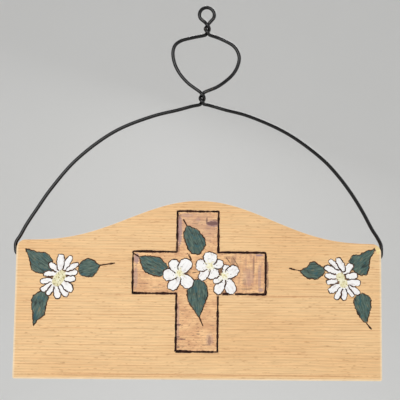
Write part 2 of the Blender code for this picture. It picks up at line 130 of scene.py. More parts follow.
# Flowers, as in the CAD model, in millimetres: centre; then each petal's root and tip from it, and width
BLOSSOM_CENTRE_RADIUS = 0.0026
BLOSSOM_FULLNESS = 0.16
BLOSSOMS = in_metres((
    {"centre": (7.8, 88.5), "petals": (
        ((-0.2, 0.5), (0.5, 10.7), 11.0), ((1.0, 0.5), (10.8, 1.8), 7.0),
        ((-1.0, 0.0), (-11.0, 0.5), 9.5), ((-1.0, -1.6), (-7.6, -11.3), 6.7),
        ((0.6, -1.2), (3.6, -10.1), 10.4))},
    {"centre": (19.3, 80.5), "petals": (
        ((0.7, -0.6), (10.6, 6.9), 8.8), ((-0.5, 0.4), (2.3, 8.9), 5.9),
        ((-0.6, -0.3), (-8.6, -4.5), 5.6), ((-0.4, -1.2), (-6.2, -14.1), 7.6),
        ((0.6, -0.8), (7.0, -13.8), 8.9))},
    {"centre": (-16.0, 82.5), "petals": (
        ((0.2, 0.2), (7.5, 10.5), 10.0), ((-0.6, 0.6), (-6.8, 10.1), 8.3),
        ((-1.0, 0.0), (-13.3, -2.1), 9.6), ((-0.5, -1.0), (-7.1, -13.3), 8.5),
        ((1.0, -1.8), (9.5, -10.5), 10.0))},
))
DAISY_FULLNESS = 0.14
DAISIES = in_metres((
    {"centre": (-110.2, 77.3), "middles": (((-3.8, -5.8), (3.8, 5.8), 8.6),), "petals": (
        ((0.7, 6.8), (1.1, 19.2), 6.2), ((3.6, 7.2), (9.2, 17.6), 4.7),
        ((5.4, 6.6), (15.1, 12.1), 4.3), ((5.1, 4.4), (14.5, 5.0), 5.1),
        ((4.4, -0.8), (13.0, 0.0), 5.0), ((2.5, -2.7), (10.6, -9.8), 6.3),
        ((0.4, -6.3), (7.1, -13.7), 5.3), ((-2.7, -6.7), (-0.4, -15.9), 5.3),
        ((-3.8, -5.4), (-8.9, -13.2), 4.4), ((-5.2, -4.0), (-14.0, -9.9), 4.6),
        ((-5.2, -1.5), (-14.8, -2.6), 4.6), ((-1.4, 4.2), (-12.1, 3.2), 4.4),
        ((-0.2, 5.4), (-7.9, 12.0), 4.9))},
    {"centre": (112.6, 78.3), "middles": (((-0.2, 0.6), (2.8, -6.0), 7.0),
                                             ((-2.9, 6.0), (0.1, -0.6), 7.0)), "petals": (
        ((2.3, 7.7), (-3.8, 17.8), 5.3), ((-2.4, 9.8), (-10.1, 16.0), 4.3),
        ((0.8, 5.8), (8.5, 12.9), 5.7), ((3.2, 3.4), (12.6, 4.3), 5.6),
        ((3.4, -1.8), (14.9, -2.0), 5.6), ((6.2, -3.8), (13.8, -11.0), 4.6),
        ((3.7, -4.9), (9.2, -12.6), 4.7), ((2.5, -5.3), (1.4, -15.5), 4.8),
        ((0.8, -5.5), (-5.4, -15.1), 5.0), ((-1.5, -3.7), (-10.9, -9.3), 5.7),
        ((-3.7, -0.7), (-12.6, -1.7), 4.4), ((-4.5, 2.8), (-13.9, 3.6), 4.6),
        ((-0.5, 6.4), (-14.3, 10.2), 5.7))},
))

# Leaves, as in the CAD model, in millimetres: points from base to tip and back, and the stem's end
CROSS_LEAVES = in_metres((
    {"base": (-0.8, 97.2), "tip": (-11.0, 120.0), "stem": (-13.7, 125.0),
     "out": ((2.4, 100.8), (4.5, 105.5), (2.4, 112.0), (-2.8, 117.1), (-7.7, 119.1)),
     "back": ((-13.5, 113.1), (-11.6, 105.9), (-8.9, 100.4), (-6.5, 97.8))},
    {"base": (-26.2, 83.2), "tip": (-48.1, 94.9), "stem": (-53.6, 98.3),
     "out": ((-24.6, 86.6), (-27.6, 90.2), (-32.2, 95.0), (-42.1, 95.9)),
     "back": ((-46.7, 89.7), (-44.3, 83.8), (-39.0, 80.7), (-30.5, 79.1))},
    {"base": (-2.5, 78.1), "tip": (0.1, 47.8), "stem": (2.9, 41.3),
     "out": ((-6.7, 75.6), (-9.8, 70.0), (-10.1, 65.0), (-8.1, 58.7), (-4.6, 53.6)),
     "back": ((1.4, 52.3), (4.5, 59.1), (6.5, 65.6), (5.8, 72.1), (2.5, 76.8))},
))
CORNER_LEAVES = in_metres((
    {"base": (-115.2, 84.6), "tip": (-137.1, 100.1), "stem": None,
     "out": ((-114.9, 90.1), (-119.2, 96.7), (-127.6, 97.8), (-132.4, 98.9)),
     "back": ((-134.2, 94.3), (-132.9, 88.8), (-131.1, 82.4), (-122.4, 80.4), (-116.3, 81.2))},
    {"base": (-95.5, 84.0), "tip": (-78.0, 87.9), "stem": (-67.0, 89.7),
     "out": ((-93.9, 79.7), (-89.5, 78.7), (-84.3, 78.7), (-80.2, 83.6)),
     "back": ((-80.5, 89.1), (-83.1, 91.4), (-87.7, 93.3), (-92.1, 91.3), (-94.8, 88.3))},
    {"base": (-121.7, 67.5), "tip": (-129.0, 40.7), "stem": None,
     "out": ((-124.7, 67.2), (-131.2, 62.4), (-130.8, 54.5), (-129.6, 49.0), (-129.7, 43.5)),
     "back": ((-126.0, 44.6), (-120.4, 48.8), (-120.0, 55.1), (-117.3, 63.2), (-119.1, 66.5))},
    {"base": (120.8, 86.9), "tip": (139.0, 103.9), "stem": None,
     "out": ((126.4, 81.9), (132.6, 82.8), (133.6, 86.5), (134.6, 91.0), (135.2, 95.6),
             (137.8, 99.4)),
     "back": ((131.7, 101.3), (126.5, 98.5), (120.8, 98.2), (118.3, 93.9), (118.2, 89.7))},
    {"base": (99.1, 85.8), "tip": (78.8, 85.5), "stem": (71.4, 87.0),
     "out": ((98.0, 88.5), (94.6, 89.9), (90.6, 93.1), (86.7, 91.7), (85.4, 88.6),
             (81.8, 87.0)),
     "back": ((81.0, 82.4), (84.5, 79.4), (92.3, 78.8), (98.0, 82.6))},
    {"base": (123.5, 67.3), "tip": (131.8, 44.9), "stem": (136.0, 40.1),
     "out": ((121.9, 63.3), (122.3, 57.7), (126.3, 50.4), (129.5, 46.0)),
     "back": ((132.9, 46.5), (134.4, 52.3), (135.5, 57.3), (135.6, 64.0), (133.3, 66.8),
              (127.5, 68.7))},
))

# Burned lines and paint; the strokes' ends and widths are in millimetres
CROSS_LINE_WIDTH = 0.0016
FLOWER_LINE_WIDTH = 0.0007
STEM_LINE_WIDTH = 0.0011
PETAL_ROOT_SHARE = 0.88
EGG_BLUNTNESS = 0.75
HAND_WOBBLE = 0.0006
ROUGH_WOBBLE = 0.0007
LINE_OVERLAP = 0.0002
OUTLINE_STEP = 0.0006
FLOWER_LINE_STEP = 0.0007
STROKE_STEP = 0.0006
CROSS_LINE_STEP = 0.0009
HEAVY_LINE_STEP = 0.0008
PAINT_SINK = 0.00006
LEAF_FILM = 0.00008
PETAL_FILM = 0.00015
DAISY_CENTRE_FILM = 0.00022
BLOSSOM_CENTRE_FILM = 0.00019
STAMEN_FILM = 0.00026
SPECK_FILM = 0.00024
DAB_WIDTH = 0.0006
EXTRA_STROKES = in_metres((
    ((-6.0, 82.7), (-0.5, 83.7), 0.5),
    ((-10.1, 98.3), (-6.2, 90.9), 0.6),
    ((-8.7, 97.5), (-6.6, 92.8), 0.5),
    ((20.5, 95.2), (26.2, 87.5), 0.4),
    ((26.2, 94.8), (30.3, 88.0), 0.4),
    ((70.4, 87.2), (72.8, 86.8), 1.2),
    ((72.2, 86.9), (79.0, 85.6), 0.8),
    ((137.6, 102.4), (139.4, 104.4), 1.2),
    ((134.0, 42.3), (135.8, 40.2), 1.1),
))
HEAVY_LINES = in_metres((
    ((16.5, 99.2), (51.2, 99.2), 1.8),
    ((51.9, 98.5), (51.9, 67.6), 1.6),
    ((-52.6, 99.2), (-38.0, 99.3), 1.7),
    ((-18.1, 21.7), (-9.0, 21.6), 1.8),
))

# Stains on the front: middle on the board and half sizes in millimetres, and strength
SCORCHES = (
    ((-17.1, 126.8), (1.4, 2.4), 0.55),
    ((-17.4, 112.0), (0.9, 6.0), 0.45),
    ((-17.1, 101.5), (1.0, 3.2), 0.50),
    ((9.8, 121.9), (5.2, 1.9), 0.85),
    ((5.0, 123.8), (0.8, 3.0), 0.75),
    ((12.0, 124.2), (3.0, 1.0), 0.45),
    ((-4.0, 121.5), (3.0, 0.7), 0.35),
    ((-16.2, 42.1), (2.4, 0.7), 0.90),
    ((-14.0, 31.2), (3.8, 0.6), 0.85),
    ((-16.2, 33.0), (1.6, 0.6), 0.70),
    ((-16.6, 25.0), (1.6, 1.0), 0.65),
    ((-13.0, 25.8), (2.2, 0.5), 0.45),
    ((-12.5, 53.0), (3.0, 0.5), 0.35),
    ((-1.0, 35.2), (1.6, 0.6), 0.60),
    ((8.0, 30.0), (1.3, 4.2), 0.45),
    ((5.4, 26.8), (4.0, 0.6), 0.40),
    ((10.0, 42.0), (2.0, 0.5), 0.35),
    ((42.4, 88.5), (0.8, 9.0), 0.50),
    ((26.2, 93.0), (2.2, 4.0), 0.40),
    ((21.5, 95.0), (3.0, 1.2), 0.35),
    ((36.5, 70.5), (4.0, 0.9), 0.40),
    ((35.0, 76.0), (1.6, 3.0), 0.30),
    ((-44.0, 74.0), (6.0, 0.5), 0.35),
    ((-34.0, 71.2), (4.5, 0.5), 0.35),
)
LILAC_PATCHES = (
    ((-16.4, 116.0), (2.2, 13.0), 0.80),
    ((-2.0, 118.0), (18.0, 15.0), 0.22),
    ((-11.0, 128.2), (6.0, 1.6), 0.45),
    ((-2.0, 124.8), (2.2, 2.0), 0.45),
    ((9.8, 121.8), (6.2, 3.0), 0.70),
    ((6.0, 118.0), (3.0, 2.0), 0.30),
    ((-50.0, 93.5), (2.2, 4.5), 0.75),
    ((-50.5, 79.0), (1.8, 10.0), 0.50),
    ((47.0, 80.0), (1.4, 12.0), 0.45),
    ((47.0, 97.3), (3.4, 0.9), 0.90),
    ((48.0, 70.0), (2.4, 1.4), 0.60),
    ((38.0, 80.0), (5.0, 8.0), 0.28),
    ((-16.8, 45.0), (1.2, 18.0), 0.40),
    ((8.2, 31.0), (3.0, 5.5), 0.30),
)
FLOWER_SHADES = (
    ((7.6, 89.7), (8.0, 8.0), 0.75),
    ((18.8, 80.5), (8.0, 8.0), 0.75),
    ((-16.3, 83.8), (8.5, 8.5), 0.75),
    ((-110.2, 77.4), (11.8, 11.8), 0.80),
    ((112.5, 78.8), (11.8, 11.8), 0.80),
)
SMUDGES = (
    ((53.0, 88.0), (1.2, 6.0), 0.75),
    ((53.2, 76.0), (1.2, 6.0), 0.60),
    ((44.0, 99.3), (8.0, 1.1), 0.60),
    ((26.0, 99.5), (10.0, 0.8), 0.35),
    ((-42.0, 99.0), (9.0, 0.8), 0.45),
    ((138.8, 102.2), (1.4, 1.0), 0.85),
)
PALE_SPOTS = (
    ((141.5, 102.8), (2.4, 3.4), 0.70),
)
DARK_RINGS = (
    ((70.0, 65.2), (48.0, 0.45), 0.60),
    ((-45.0, 65.5), (45.0, 0.35), 0.40),
    ((0.0, 3.7), (150.0, 0.6), 0.40),
)

# Wood
RING_SPACING = 0.00212
GRID_STEP = 0.012

# Slots of the board's mesh
FACE, BACK, SAWN, END, ARRIS_WOOD, CHAR, BURN, BORE = range(8)


def srgb(red, green, blue):
    """A colour given as it looks on screen, 0 to 255, as the light that it reflects."""
    shares = []
    for value in (red, green, blue):
        share = value / 255.0
        shares.append(share / 12.92 if share <= 0.04045 else ((share + 0.055) / 1.055) ** 2.4)
    return (*shares, 1.0)


class Wiring:
    """Adds nodes to one node tree and feeds each of them with values or with other nodes."""

    def __init__(self, tree):
        self.tree = tree

    def feed(self, socket, source):
        """Link a socket to another one, or set its value."""
        if isinstance(source, bpy.types.NodeSocket):
            self.tree.links.new(source, socket)
        else:
            socket.default_value = source

    def add(self, kind, sources=None, **settings):
        """A node with its settings, and with its inputs fed by name or number."""
        made = self.tree.nodes.new(kind)
        for name, value in settings.items():
            setattr(made, name, value)
        for name, source in (sources or {}).items():
            self.feed(made.inputs[name], source)
        return made

    def maths(self, operation, *sources):
        """One sum on numbers."""
        return self.add("ShaderNodeMath", dict(enumerate(sources)), operation=operation).outputs[0]

    def plus(self, first, second):
        """Two numbers added."""
        return self.maths("ADD", first, second)

    def minus(self, first, second):
        """One number less another."""
        return self.maths("SUBTRACT", first, second)

    def times(self, first, second):
        """Two numbers multiplied."""
        return self.maths("MULTIPLY", first, second)

    def apart(self, first, second):
        """How far two numbers are apart."""
        return self.maths("ABSOLUTE", self.minus(first, second))

    def vectors(self, operation, *sources):
        """One sum on vectors."""
        return self.add("ShaderNodeVectorMath", dict(enumerate(sources)), operation=operation).outputs[0]

    def noise(self, place, stretch, detail=2.0, roughness=0.5):
        """Noise from 0 to 1, with so many waves to the metre, the same or one number for each axis."""
        waves = stretch if isinstance(stretch, tuple) else (stretch, stretch, stretch)
        stretched = self.vectors("MULTIPLY", place, waves)
        sources = {"Vector": stretched, "Scale": 1.0, "Detail": detail, "Roughness": roughness}
        return self.add("ShaderNodeTexNoise", sources).outputs[0]

    def ease(self, value, low, high, to_low=0.0, to_high=1.0):
        """A smooth step from one value to another."""
        sources = {"Value": value, "From Min": low, "From Max": high, "To Min": to_low, "To Max": to_high}
        made = self.add("ShaderNodeMapRange", sources, interpolation_type="SMOOTHSTEP")
        return made.outputs[0]

    def blend(self, share, first, second, kind="MIX"):
        """Two colours mixed."""
        made = self.add("ShaderNodeMix", {0: share, 6: first, 7: second}, data_type="RGBA", blend_type=kind)
        return made.outputs[2]

    def place(self):
        """The place on the piece, in metres."""
        return self.add("ShaderNodeTexCoord").outputs["Object"]

    def bump(self, height, strength, distance):
        """A surface normal from a height."""
        sources = {"Height": height, "Strength": strength, "Distance": distance}
        return self.add("ShaderNodeBump", sources).outputs[0]


def new_group(name, places, numbers, results):
    """An empty node group that takes places and numbers and gives numbers; its start, wiring and end."""
    tree = bpy.data.node_groups.new(name, "ShaderNodeTree")
    for labels, way, kind in ((places, "INPUT", "Vector"), (numbers, "INPUT", "Float"),
                              (results, "OUTPUT", "Float")):
        for label in labels:
            tree.interface.new_socket(name=label, in_out=way, socket_type="NodeSocket" + kind)
    wire = Wiring(tree)
    return tree, wire.add("NodeGroupInput").outputs, wire, wire.add("NodeGroupOutput").inputs


def cedar_grain_group():
    """Growth rings stacked up the board, with fibres and flecks along it."""
    tree, start, wire, end = new_group("cedar_grain", ("Place",), ("Ring Spacing",),
                                       ("Latewood", "Fibre", "Fleck", "Drift"))
    place = start["Place"]
    _, y, z = wire.add("ShaderNodeSeparateXYZ", {0: place}).outputs
    sway = wire.times(wire.noise(place, (5.0, 9.0, 14.0), 2.0), 0.0042)
    ripple = wire.times(wire.noise(place, (24.0, 60.0, 110.0), 2.0), 0.0007)
    slant = wire.times(y, 0.30)
    level = wire.plus(wire.plus(z, slant), wire.plus(sway, ripple))
    height = wire.add("ShaderNodeCombineXYZ", {"Z": level}).outputs[0]
    crowding = wire.times(wire.noise(height, (1.0, 1.0, 55.0), 1.0), 1.5)
    count = wire.plus(wire.maths("DIVIDE", level, start["Ring Spacing"]), crowding)
    share = wire.maths("FRACT", count)
    late = wire.times(wire.ease(share, 0.46, 0.86), wire.ease(share, 0.88, 1.0, 1.0, 0.0))
    number = wire.maths("FLOOR", count)
    each = wire.add("ShaderNodeTexWhiteNoise", {"W": number}, noise_dimensions="1D").outputs["Value"]
    patch = wire.noise(place, (30.0, 60.0, 240.0), 3.0)
    each = wire.ease(each, 0.0, 1.0, 0.40, 0.9)
    strength = wire.times(each, wire.ease(patch, 0.3, 0.7, 0.30, 1.0))
    wire.feed(end["Latewood"], wire.times(late, strength))
    wire.feed(end["Fibre"], wire.noise(place, (60.0, 900.0, 950.0), 3.0, 0.65))
    dashes = wire.noise(place, (200.0, 1200.0, 1300.0), 1.0)
    wire.feed(end["Fleck"], wire.ease(dashes, 0.64, 0.74))
    wire.feed(end["Drift"], wire.noise(place, (7.0, 20.0, 26.0), 3.0))
    return tree


def stain_group():
    """A soft-edged patch of stain at a place on the front, broken up by the grain."""
    tree, start, wire, end = new_group("stain_patch", ("Spot", "Middle", "Inverse Size"), ("Strength",),
                                       ("Mask",))
    spot = start["Spot"]
    offset = wire.vectors("SUBTRACT", spot, start["Middle"])
    offset = wire.vectors("MULTIPLY", offset, start["Inverse Size"])
    reach = wire.add("ShaderNodeVectorMath", {0: offset}, operation="LENGTH").outputs["Value"]
    torn = wire.noise(spot, (420.0, 1.0, 1100.0), 3.0, 0.6)
    ragged = wire.times(wire.minus(torn, 0.5), 1.5)
    mask = wire.ease(wire.plus(reach, ragged), 0.70, 1.10, 1.0, 0.0)
    wire.feed(end["Mask"], wire.times(mask, start["Strength"]))
    return tree


def cross_group():
    """How far a place on the front is from the cross's outline, less than nothing inside it."""
    tree, start, wire, end = new_group("cross_field", ("Spot",), (), ("Distance",))
    x, _, z = wire.add("ShaderNodeSeparateXYZ", {0: start["Spot"]}).outputs
    bars = (
        (CROSS_X, CROSS_BAR / 2, CROSS_ARM_HEIGHT + (CROSS_REACH_UP - CROSS_REACH_DOWN) / 2,
         (CROSS_REACH_UP + CROSS_REACH_DOWN) / 2),
        (CROSS_X + (CROSS_REACH_RIGHT - CROSS_REACH_LEFT) / 2, (CROSS_REACH_LEFT + CROSS_REACH_RIGHT) / 2,
         CROSS_ARM_HEIGHT, CROSS_BAR / 2),
    )
    fields = []
    for middle_x, half_x, middle_z, half_z in bars:
        across = wire.minus(wire.apart(x, middle_x), half_x)
        up = wire.minus(wire.apart(z, middle_z), half_z)
        fields.append(wire.maths("MAXIMUM", across, up))
    wire.feed(end["Distance"], wire.maths("MINIMUM", *fields))
    return tree


def stains(wire, spot, patches):
    """The strongest of several patches of stain."""
    mask = 0.0
    for middle, halves, strength in patches:
        (x, z), (half_x, half_z) = in_metres((middle, halves))
        sources = {"Spot": spot, "Middle": (x, 0.0, z), "Strength": strength,
                   "Inverse Size": (1.0 / half_x, 0.0, 1.0 / half_z)}
        patch = wire.add("ShaderNodeGroup", sources, node_tree=STAIN)
        mask = wire.maths("MAXIMUM", mask, patch.outputs["Mask"])
    return mask


def start_material(name, roughness=0.5, level=0.5):
    """A new material, its wiring and its shader."""
    finish = bpy.data.materials.new(name)
    finish.use_nodes = True
    shader = finish.node_tree.nodes["Principled BSDF"]
    shader.inputs["Roughness"].default_value = roughness
    shader.inputs["Specular IOR Level"].default_value = level
    return finish, Wiring(finish.node_tree), shader


def dress(wire, shader, colour, roughness, normal):
    """Feed a shader its colour, roughness and surface normal."""
    for name, source in (("Base Color", colour), ("Roughness", roughness), ("Normal", normal)):
        wire.feed(shader.inputs[name], source)


def cedar(name, pale, warm, late, grain_strength=1.0, roughness=0.55, front=False, bump=0.35):
    """Bare cedar; the front also has the stained cross, the shading round the flowers and a painted
    highlight along its side and bottom edges.
    """
    finish, wire, shader = start_material(name, level=0.35)
    place = wire.place()
    grain = wire.add("ShaderNodeGroup", {"Place": place, "Ring Spacing": RING_SPACING},
                     node_tree=GRAIN).outputs
    colour = wire.blend(wire.ease(grain["Drift"], 0.35, 0.65), srgb(*pale), srgb(*warm))
    rings = wire.times(grain["Latewood"], grain_strength)
    colour = wire.blend(rings, colour, srgb(*late))
    colour = wire.blend(wire.times(grain["Fleck"], 0.50), colour, srgb(188, 132, 86))
    relief = 0.0
    if front:
        colour, relief = front_stains(wire, place, grain, colour)
    fibre = grain["Fibre"]
    streak = wire.ease(fibre, 0.3, 0.7, 0.91, 1.06)
    streak = wire.add("ShaderNodeCombineColor", {0: streak, 1: streak, 2: streak}).outputs[0]
    colour = wire.blend(1.0, colour, streak, "MULTIPLY")
    height = wire.plus(fibre, wire.times(grain["Latewood"], 0.7))
    height = wire.minus(height, wire.times(grain["Fleck"], 0.6))
    height = wire.minus(height, relief)
    gloss = wire.ease(fibre, 0.2, 0.8, roughness - 0.06, roughness + 0.10)
    dress(wire, shader, colour, gloss, wire.bump(height, bump, 0.00012))
    return finish


def front_stains(wire, place, grain, colour):
    """Everything that colours the front besides the wood: toned cross, scorch, dark rings and a painted
    highlight along the side and bottom edges.
    """
    spot = wire.vectors("SUBTRACT", place, (BOARD_X, 0.0, BOARD_Z))
    distance = wire.add("ShaderNodeGroup", {"Spot": spot}, node_tree=CROSS).outputs["Distance"]
    ragged = wire.times(wire.minus(wire.noise(spot, (260.0, 1.0, 420.0), 3.0), 0.5), 0.0007)
    inside = wire.ease(wire.plus(distance, ragged), -0.0004, 0.0002, 1.0, 0.0)
    colour = wire.blend(stains(wire, spot, DARK_RINGS), colour, srgb(188, 120, 76))

    mottle = wire.noise(spot, (75.0, 1.0, 210.0), 4.0, 0.65)
    toned = wire.blend(wire.ease(mottle, 0.36, 0.64), srgb(251, 204, 150), srgb(224, 172, 126))
    toned = wire.blend(wire.times(grain["Latewood"], 0.7), toned, srgb(186, 128, 90))
    brushed = wire.noise(spot, (330.0, 1.0, 980.0), 3.0, 0.65)
    toned = wire.blend(wire.ease(brushed, 0.55, 0.67, 0.0, 0.75), toned, srgb(156, 102, 80))
    x, _, z = wire.add("ShaderNodeSeparateXYZ", {0: spot}).outputs
    upright = wire.ease(wire.noise(spot, (420.0, 1.0, 70.0), 3.0), 0.46, 0.68, 0.0, 0.60)
    upright = wire.times(upright, wire.ease(x, 0.018, 0.030))
    toned = wire.blend(upright, toned, srgb(190, 138, 116))
    toned = wire.blend(stains(wire, spot, LILAC_PATCHES), toned, srgb(168, 136, 138))
    toned = wire.blend(stains(wire, spot, SCORCHES), toned, srgb(108, 72, 70))
    colour = wire.blend(inside, colour, toned)
    colour = wire.blend(stains(wire, spot, PALE_SPOTS), colour, srgb(248, 228, 160))
    # Painted highlight: the front is paler along its side and bottom edges, standing in for light caught by
    # the eased edge.
    from_side = wire.minus(BOARD_WIDTH / 2, wire.maths("ABSOLUTE", x))
    painted_edge_highlight = wire.ease(wire.plus(wire.maths("MINIMUM", from_side, z), ragged), 0.0006, 0.0018, 0.65, 0.0)
    colour = wire.blend(painted_edge_highlight, colour, srgb(250, 228, 192))
    colour = wire.blend(stains(wire, spot, SMUDGES), colour, srgb(120, 84, 76))

    shade = stains(wire, spot, FLOWER_SHADES)
    colour = wire.blend(shade, colour, srgb(98, 66, 48))
    near = wire.ease(wire.maths("ABSOLUTE", distance), 0.0005, 0.0019, 1.0, 0.0)
    uneven = wire.ease(wire.noise(spot, (130.0, 1.0, 130.0), 3.0), 0.42, 0.72)
    halo = wire.times(near, wire.times(uneven, 0.75))
    colour = wire.blend(halo, colour, srgb(118, 76, 62))
    return colour, wire.times(shade, 0.5)


def charred(name, dark, brown):
    """The burned floor of a groove, from black where the burner rested to brown where it ran on."""
    finish, wire, shader = start_material(name, level=0.2)
    place = wire.place()
    patch = wire.noise(place, 170.0, 3.0, 0.6)
    crumb = wire.noise(place, 2600.0, 2.0)
    colour = wire.blend(wire.ease(patch, 0.36, 0.66), srgb(*dark), srgb(*brown))
    dress(wire, shader, colour, wire.ease(crumb, 0.2, 0.8, 0.75, 0.95), wire.bump(crumb, 0.6, 0.00008))
    return finish


def brushed_paint(name, middle, pale, dark, roughness, tips=None, accent=None):
    """Flat craft paint put on with a small brush, whose strokes run along each petal or leaf."""
    finish, wire, shader = start_material(name, level=0.4)
    strokes = wire.add("ShaderNodeUVMap", uv_map="strokes").outputs[0]
    bristle = wire.noise(strokes, (150.0, 1700.0, 1.0), 3.0, 0.6)
    patch = wire.noise(strokes, (160.0, 420.0, 1.0), 3.0, 0.55)
    colour = wire.blend(wire.ease(bristle, 0.35, 0.70), srgb(*middle), srgb(*pale))
    colour = wire.blend(wire.ease(patch, 0.48, 0.72), colour, srgb(*dark))
    if accent:
        pool = wire.noise(strokes, (210.0, 330.0, 1.0), 3.0, 0.6)
        colour = wire.blend(wire.ease(pool, 0.52, 0.64, 0.0, 0.8), colour, srgb(*accent))
    if tips:
        colour = wire.blend(wire.ease(patch, 0.30, 0.42, 0.55, 0.0), colour, srgb(*tips))
    gloss = wire.ease(bristle, 0.2, 0.8, roughness + 0.08, roughness - 0.05)
    dress(wire, shader, colour, gloss, wire.bump(wire.plus(bristle, patch), 0.45, 0.00012))
    return finish


def stippled_paint(name, middle, pale, dark):
    """Thick pale yellow paint, dabbed on in dots."""
    finish, wire, shader = start_material(name, level=0.4)
    place = wire.place()
    dots = wire.noise(place, 850.0, 2.0)
    patch = wire.noise(place, 330.0, 2.0)
    colour = wire.blend(wire.ease(patch, 0.38, 0.66), srgb(*middle), srgb(*pale))
    colour = wire.blend(wire.ease(dots, 0.54, 0.66), colour, srgb(*dark))
    dress(wire, shader, colour, wire.ease(dots, 0.2, 0.8, 0.5, 0.7), wire.bump(dots, 0.5, 0.00015))
    return finish


def coated_wire():
    """Satin black coating, worn thin in places round the twists."""
    finish, wire, shader = start_material("black_coated_wire", level=0.45)
    place = wire.place()
    z = wire.add("ShaderNodeSeparateXYZ", {0: place}).outputs["Z"]
    haze = wire.noise(place, 60.0, 3.0)
    grit = wire.noise(place, 1600.0, 2.0)
    rub = wire.ease(wire.noise(place, 420.0, 3.0), 0.58, 0.72)
    twists = 0.0
    for height in (-EYE_TO_TWIST, -EYE_TO_TWIST - TWIST_PITCH / 2 - LOOP_HEIGHT):
        twists = wire.maths("MAXIMUM", twists, wire.ease(wire.apart(z, height), 0.002, 0.008, 1.0, 0.0))
    worn = wire.times(rub, wire.times(twists, 0.7))
    colour = wire.blend(wire.ease(haze, 0.3, 0.7), srgb(1, 1, 2), srgb(4, 4, 5))
    colour = wire.blend(worn, colour, srgb(112, 102, 88))
    dress(wire, shader, colour, wire.ease(haze, 0.3, 0.7, 0.08, 0.15), wire.bump(grit, 0.03, 0.00002))
    return finish


def new_object(name, data):
    """A new object in the scene."""
    thing = bpy.data.objects.new(name, data)
    bpy.context.collection.objects.link(thing)
    return thing


def tube_path(thickness, corners):
    """An empty curve that becomes a tube, with so many corners added to each quarter of its section."""
    curve = bpy.data.curves.new("path", "CURVE")
    curve.dimensions = "3D"
    curve.bevel_depth = thickness
    curve.bevel_resolution = corners
    curve.use_fill_caps = True
    return curve


def tube_mesh(curve):
    """The mesh of a tube along a curve."""
    holder = new_object("path", curve)
    bpy.context.view_layer.update()
    mesh = bpy.data.meshes.new_from_object(holder.evaluated_get(bpy.context.evaluated_depsgraph_get()))
    bpy.data.objects.remove(holder, do_unlink=True)
    return mesh


def mesh_piece(name, bm, materials, smooth_degrees=None):
    """Turn a bmesh into an object of the scene."""
    mesh = bpy.data.meshes.new(name)
    bm.to_mesh(mesh)
    bm.free()
    for finish in materials:
        mesh.materials.append(finish)
    if smooth_degrees is not None:
        mesh.shade_smooth()
        mesh.set_sharp_from_angle(angle=math.radians(smooth_degrees))
    return new_object(name, mesh)


def on_front(x, z, proud=0.0):
    """A place on the board's front, or a little in front of it."""
    return Vector((BOARD_X + x, -BOARD_THICKNESS / 2 - proud, BOARD_Z + z))


def bell_height(x):
    """Height of the board's top edge above its bottom edge, x from the middle."""
    share = min(abs(x) / (BELL_WIDTH / 2), 1.0)
    rise = BOARD_HEIGHT - SHOULDER_HEIGHT
    return SHOULDER_HEIGHT + rise * (0.5 + 0.5 * math.cos(math.pi * share)) ** BELL_POWER


def corner_arc(centre_x, centre_z, radius, start_degrees, segments=8):
    """A quarter circle, anticlockwise from its starting angle."""
    points = []
    for step in range(segments + 1):
        angle = math.radians(start_degrees + 90.0 * step / segments)
        points.append((centre_x + radius * math.cos(angle), centre_z + radius * math.sin(angle)))
    return points


def board_outline(spacing=0.003):
    """The board's front outline, anticlockwise, from its middle and its bottom edge."""
    half = BOARD_WIDTH / 2
    low = BOTTOM_CORNER_RADIUS
    high = TOP_CORNER_RADIUS
    outline = corner_arc(-half + low, low, low, 180.0, 4)
    outline += corner_arc(half - low, low, low, 270.0, 4)
    outline += corner_arc(half - high, SHOULDER_HEIGHT - high, high, 0.0)
    for step in range(1, 120):
        x = BELL_WIDTH * (0.5 - step / 120)
        if abs(x) < half - high - 0.001:
            outline.append((x, bell_height(x)))
    outline += corner_arc(-half + high, SHOULDER_HEIGHT - high, high, 90.0)
    points = []
    for start, end in zip(outline, outline[1:] + outline[:1]):
        start, end = Vector(start), Vector(end)
        count = max(1, round((end - start).length / spacing))
        points += [start.lerp(end, index / count) for index in range(count)]
    return points


def egg(length, width, fullness, points=28):
    """A closed rounded outline from (0, 0) to (length, 0); fullness widens it towards its tip."""
    outline = []
    for step in range(points):
        turn = 2.0 * math.pi * step / points
        along = length * 0.5 * (1.0 - math.cos(turn))
        bulge = math.copysign(abs(math.sin(turn)) ** EGG_BLUNTNESS, math.sin(turn))
        outline.append((along, width * 0.5 * bulge * (1.0 - fullness * math.cos(turn))))
    return outline


def roughen(outline, amount):
    """Walk round an outline in short steps, each a little off the line, as a hand leaves it."""
    points = []
    for start, end in zip(outline, outline[1:] + outline[:1]):
        count = max(1, round((end - start).length / OUTLINE_STEP))
        for index in range(count):
            point = start.lerp(end, index / count)
            push = noise.noise_vector(Vector((point.x, point.y, 0.0)) * 800.0)
            points.append(point + amount * Vector((push.x, push.y)))
    return points


def petal(centre, plan, fullness, kind):
    """A rounded outline from its root to its tip, with where it starts and which way it runs."""
    root, tip, width = plan
    start = Vector(centre) + Vector(root)
    along = Vector(tip) - Vector(root)
    turn = Matrix.Rotation(math.atan2(along.y, along.x), 2)
    outline = [start + turn @ Vector(point) for point in egg(along.length, width, fullness)]
    return {"outline": roughen(outline, HAND_WOBBLE), "start": start, "direction": along.normalized(),
            "kind": kind}


def blossom(centre, petals):
    """A five-petalled blossom: a plain middle and its petals, the first on top."""
    disc = ((-BLOSSOM_CENTRE_RADIUS, 0.0), (BLOSSOM_CENTRE_RADIUS, 0.0), 2.0 * BLOSSOM_CENTRE_RADIUS)
    shapes = [petal(centre, disc, 0.0, "boss")]
    shapes += [petal(centre, plan, BLOSSOM_FULLNESS, "petal") for plan in petals]
    return shapes


def daisy(centre, middles, petals):
    """A daisy: its yellow middle and its petals, the first on top."""
    shapes = [petal(centre, plan, 0.0, "centre") for plan in middles]
    for root, tip, width in petals:
        inner = [PETAL_ROOT_SHARE * value for value in root]
        shapes.append(petal(centre, (inner, tip, width), DAISY_FULLNESS, "petal"))
    return shapes


